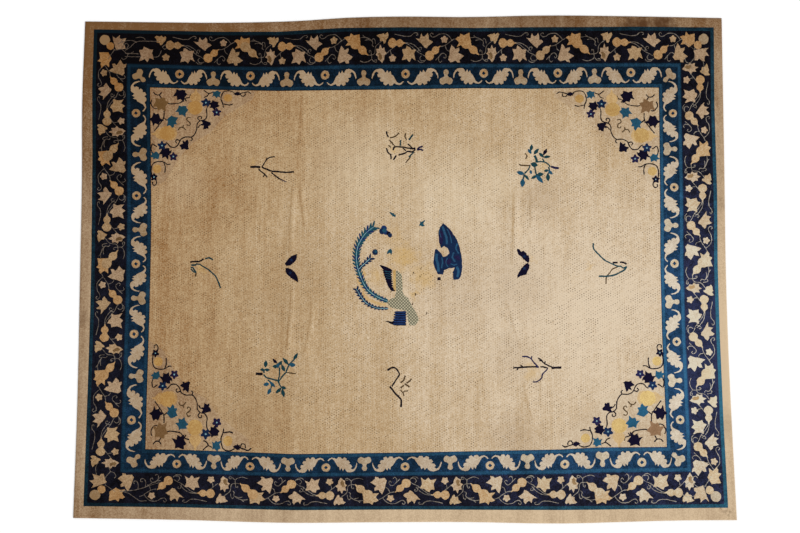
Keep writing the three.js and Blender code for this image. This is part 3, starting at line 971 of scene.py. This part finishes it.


# Ragged patches where soil has darkened the field's wool, where it is worn pale, or where gold wool has
# faded almost into the camel, and darker patches on the band: middle, reach and strength, in mm
FIELD_SOIL = [
    (300, -140, 240, 0.2), (620, -100, 200, 0.24), (-560, 0, 200, 0.16), (-760, -230, 200, 0.16),
    (-900, -860, 260, 0.28), (750, 380, 130, 0.26), (600, -500, 150, 0.2), (600, -960, 160, 0.3),
    (1060, -970, 180, 0.3), (-640, -680, 180, 0.16), (1240, 820, 180, 0.26), (-1240, 660, 80, 0.2),
]
FIELD_WEAR = [(-230, 540, 280, 0.36), (260, 400, 300, 0.36), (520, 480, 150, 0.36), (-1240, 450, 140, 0.14)]
FIELD_GOLD = [
    (0, 40, 74, 0.9), (110, -70, 70, 0.8), (60, -165, 26, 0.9), (-50, 150, 50, 0.4), (-150, -60, 44, 0.6),
    (760, 545, 26, 0.6), (690, 600, 20, 0.5), (700, -590, 44, 0.6), (60, 704, 10, 1), (-50, 636, 16, 0.9),
    (1030, -12, 20, 0.7), (-1130, -30, 20, 0.7), (-850, 560, 24, 0.6), (708, 22, 16, 0.6),
]
# Darker patches on the camel band, broadest along the far edge
BAND_DARK_PATCHES = [
    (100, 1370, 420, 0.38), (800, 1370, 420, 0.38), (1340, 1350, 75, 1.3), (1450, 1350, 75, 1.3),
    (1270, 1345, 60, 1.1), (-250, 1350, 60, 0.5), (560, 1360, 60, 0.5), (1768, 330, 40, 0.4),
    (-1768, -300, 50, 0.4), (1770, -880, 90, 0.3), (1720, -1330, 12, 1), (1744, -1344, 12, 1),
]
STAIN_DRIFT, STAIN_GRAIN, STAIN_DEPTH = 0.14, 30, 0.7
STAIN_EDGE = (0.3, 1.3)


def stained(tree, at, colour, patches, stain):
    drift = add(tree, "TexNoise", {"Vector": at, "Scale": STAIN_GRAIN, "Detail": 5}).node.outputs["Color"]
    moved = add(tree, "VectorMath", {0: drift, 1: (STAIN_DRIFT, STAIN_DRIFT, 0), 2: at},
                operation="MULTIPLY_ADD")
    total = 0.0
    for x, y, reach, strength in patches:
        middle = (x * MM + STAIN_DRIFT / 2, y * MM + STAIN_DRIFT / 2, 0)
        off = add(tree, "VectorMath", {0: moved, 1: middle}, operation="DISTANCE")
        near, far = reach * MM * STAIN_EDGE[0], reach * MM * STAIN_EDGE[1]
        patch = add(tree, "MapRange", {0: off, 1: near, 2: far, 3: strength * STAIN_DEPTH, 4: 0})
        total = add(tree, "Math", {0: patch, 1: total}, operation="MAXIMUM")
    return add(tree, "Mix", {"Factor": total, 6: colour, 7: linear(stain)}, data_type="RGBA")


# A net of dark lines over the bird's body, one mesh for each feather
NET_PITCH, NET_TURN = 12 * MM, math.radians(45)
NET_LINE, NET_DEPTH, NET_DARK = (0.24, 0.42), 0.9, "44463a"


def scaled(tree, at, colour):
    turned_at = add(tree, "Mapping", {"Vector": at, "Rotation": (0, 0, NET_TURN)})
    cells = add(tree, "VectorMath", {0: turned_at, "Scale": 1 / NET_PITCH}, operation="SCALE")
    off = add(tree, "VectorMath", {0: cells}, operation="FRACTION")
    x = add(tree, "SeparateXYZ", {0: off})
    y = x.node.outputs[1]
    least = add(tree, "Math", {0: x, 1: y}, operation="MINIMUM")
    mark = add(tree, "MapRange", {0: least, 1: NET_LINE[0], 2: NET_LINE[1], 3: NET_DEPTH, 4: 0})
    return add(tree, "Mix", {"Factor": mark, 6: colour, 7: linear(NET_DARK)}, data_type="RGBA")


def dyed_wool(dye):
    shades = DYES[dye]
    wool = bpy.data.materials.new(f"hand_spun_wool_{dye}")
    wool.use_nodes = True
    tree = wool.node_tree
    surface = tree.nodes["Principled BSDF"]
    at = add(tree, "TexCoord").node.outputs["Object"]
    tufts = add(tree, "TexVoronoi", {"Vector": at, "Scale": 1 / KNOT})
    tuft = add(tree, "SeparateColor", {0: tufts.node.outputs["Color"]})
    across = (1 / STREAK[0], 1 / STREAK[1], 1)
    stretched = add(tree, "VectorMath", {0: at, 1: across}, operation="MULTIPLY")
    streak = add(tree, "TexNoise", {"Vector": stretched, "Scale": 1, "Detail": 3})
    soil = add(tree, "TexNoise", {"Vector": at, "Scale": 1 / SOIL_SIZE, "Detail": 4})
    fine_streak = add(tree, "TexNoise", {"Vector": stretched, "Scale": FINE_STREAKS, "Detail": 3})
    blotch = add(tree, "TexNoise", {"Vector": at, "Scale": 1 / BLOTCH, "Detail": 2})
    kind = next((kind for kind, dyed in GRADIENT_GROUPS.items() if dye in dyed), "pattern")
    # Partly faded wool, partly painted light: palest round a point to the right and near side, darker away
    # from it
    centre, falloff, most, loss = FADING_AND_PAINTED_LIGHT[kind]
    away = add(tree, "VectorMath", {0: at, 1: centre}, operation="SUBTRACT")
    away = add(tree, "VectorMath", {0: away, 1: falloff}, operation="MULTIPLY")
    away = add(tree, "VectorMath", {0: away}, operation="LENGTH")
    uneven = UNEVEN[kind]
    mean = most - sum(uneven) / 2
    paleness = add(tree, "Math", {0: away, 1: loss, 2: mean}, operation="MULTIPLY_ADD")
    for source, share in zip((streak, soil, fine_streak, blotch, tuft), uneven):
        paleness = add(tree, "Math", {0: source, 1: share, 2: paleness}, operation="MULTIPLY_ADD")
    if kind == "field":
        # Painted shade and highlight beside the folds
        wear_and_fold_shade = add(tree, "Attribute", attribute_name="fold_painted_shade").node.outputs["Fac"]
        paleness = add(tree, "Math", {0: wear_and_fold_shade, 1: FOLD_SHADE_STRENGTH, 2: paleness}, operation="MULTIPLY_ADD")
    elif kind != "band":
        paleness = add(tree, "Math", {0: paleness, 1: 0.0}, operation="MAXIMUM")
        paleness = add(tree, "Math", {0: paleness, 1: PALENESS_CURVE}, operation="POWER")
    colour = linear(shades[0])
    stops = len(shades) - 1
    for step, shade in enumerate(shades[1:]):
        share = add(tree, "MapRange", {0: paleness, 1: step / stops, 2: (step + 1) / stops, 3: 0, 4: 1})
        colour = add(tree, "Mix", {"Factor": share, 6: colour, 7: linear(shade)}, data_type="RGBA")
    if dye == "camel_field":
        colour = stained(tree, at, colour, FIELD_SOIL, "7a5a38")
        colour = stained(tree, at, colour, FIELD_WEAR, "e2d2b6")
        colour = stained(tree, at, colour, FIELD_GOLD, "c29e5e")
        colour = dotted(tree, at, colour, (0, 0))
        colour = dotted(tree, at, colour, (0.5, 0.5))
    if dye == "camel_band":
        colour = stained(tree, at, colour, BAND_DARK_PATCHES, "4c301a")
    if dye == "scales":
        colour = scaled(tree, at, colour)
    fibres = add(tree, "TexNoise", {"Vector": at, "Scale": 1 / FIBRE, "Detail": 2})
    nap = add(tree, "Math", {0: tufts, 1: TUFT_DEPTH, 2: fibres}, operation="MULTIPLY_ADD")
    bump = add(tree, "Bump", {"Height": nap, "Strength": 0.45, "Distance": 1.5 * MM})
    tree.links.new(colour, surface.inputs["Base Color"])
    tree.links.new(bump, surface.inputs["Normal"])
    surface.inputs["Roughness"].default_value = 0.92
    surface.inputs["Specular IOR Level"].default_value = 0.03
    surface.inputs["Sheen Weight"].default_value = 0.03
    surface.inputs["Sheen Roughness"].default_value = 0.55
    surface.inputs["Sheen Tint"].default_value = linear(shades[-1])
    return wool


for dye in dyes:
    cloth.materials.append(dyed_wool(dye))

# The studio: a white floor under the carpet, soft light from all round with a broad lamp low on the
# right, and a camera almost straight above.
SENSOR, LENS = 36, 54
CAMERA_AT = (-0.0231, -0.6366, 6.5995)
CAMERA_TILT = math.radians(5.415)
FLOOR_SIZE = 40
bpy.ops.mesh.primitive_plane_add(size=FLOOR_SIZE)
floor = bpy.context.object
floor.name = "studio_floor"
paint = bpy.data.materials.new("matt_white_floor_paint")
paint.use_nodes = True
painted = paint.node_tree.nodes["Principled BSDF"]
painted.inputs["Base Color"].default_value = linear("f6f6f6")
painted.inputs["Roughness"].default_value = 0.9
floor.data.materials.append(paint)
floor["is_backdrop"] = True

KEY_HEIGHT, KEY_TURN = math.radians(36), math.radians(-38)
bpy.ops.object.light_add(type="SUN", rotation=(0, math.pi / 2 - KEY_HEIGHT, KEY_TURN))
key = bpy.context.object
key.data.energy = 1.6
key.data.angle = math.radians(18)
world = bpy.data.worlds.new("soft_room_light")
world.use_nodes = True
room = world.node_tree.nodes["Background"]
room.inputs["Color"].default_value = (1, 1, 1, 1)
room.inputs["Strength"].default_value = 0.82
bpy.context.scene.world = world
bpy.context.scene.view_settings.view_transform = "Standard"

lens = bpy.data.cameras.new("camera")
lens.sensor_width = SENSOR
lens.lens = LENS
camera = bpy.data.objects.new("camera", lens)
camera.location = CAMERA_AT
camera.rotation_euler = (CAMERA_TILT, 0, 0)
bpy.context.scene.collection.objects.link(camera)
bpy.context.scene.camera = camera

boxes = {"cad": cad_box, "visual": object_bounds()}
{name: [list(corner) for corner in box] for name, box in boxes.items()}
